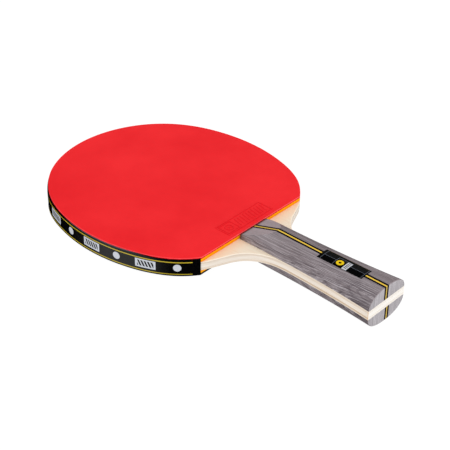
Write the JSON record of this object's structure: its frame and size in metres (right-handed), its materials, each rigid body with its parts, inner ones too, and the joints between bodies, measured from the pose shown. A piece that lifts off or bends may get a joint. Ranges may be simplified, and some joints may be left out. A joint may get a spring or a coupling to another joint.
{
  "type": "table tennis paddle",
  "caption": "Table tennis paddle with a plywood blade, sponge-backed red and black rubbers, taped edge, and a flared handle of domed grey wood scales with an inlaid stripe.",
  "frame": {"origin": "under the middle of the overall length, on the centre line, at the lowest point of the rear handle scale", "axes": "+X along the handle towards its butt end, +Y across the blade, +Z out of the red playing face"},
  "size_m": [0.2577, 0.1516, 0.0253],
  "materials": {
    "red_topsheet": "pimples-in rubber top sheet, smooth satin playing surface, red",
    "black_topsheet": "pimples-in rubber top sheet, smooth satin playing surface, black",
    "sponge": "foamed rubber, orange, matte, fine open cells on cut edges",
    "face_veneer": "pale limba-like face veneer, fine sanded, thin clear seal",
    "inner_veneer": "spruce-like inner veneer, seen on edge",
    "core_wood": "very pale ayous-like core, seen on edge",
    "tape": "satin printed edge tape, black with fine yellow lines and silver marks",
    "grey_wood": "grey dyed hardwood, open grain, satin lacquer",
    "black_veneer": "black dyed veneer, satin lacquer",
    "yellow_veneer": "yellow dyed veneer, satin lacquer",
    "badge": "black printed plate with fine silver lines, satin"
  },
  "bodies": {
    "root": {"blade_core_ply": "core_wood", "front_inner_ply": "inner_veneer", "rear_inner_ply": "inner_veneer", "front_face_ply": "face_veneer", "rear_face_ply": "face_veneer", "front_sponge": "sponge", "rear_sponge": "sponge", "front_topsheet": "red_topsheet", "rear_topsheet": "black_topsheet", "edge_tape": "tape", "front_scale_left": "grey_wood", "front_scale_right": "grey_wood", "front_inlay_black_left": "black_veneer", "front_inlay_black_right": "black_veneer", "front_inlay_yellow": "yellow_veneer", "rear_scale_left": "grey_wood", "rear_scale_right": "grey_wood", "rear_inlay_black_left": "black_veneer", "rear_inlay_black_right": "black_veneer", "rear_inlay_yellow": "yellow_veneer", "handle_badge": "badge"}
  },
  "joints": []
}
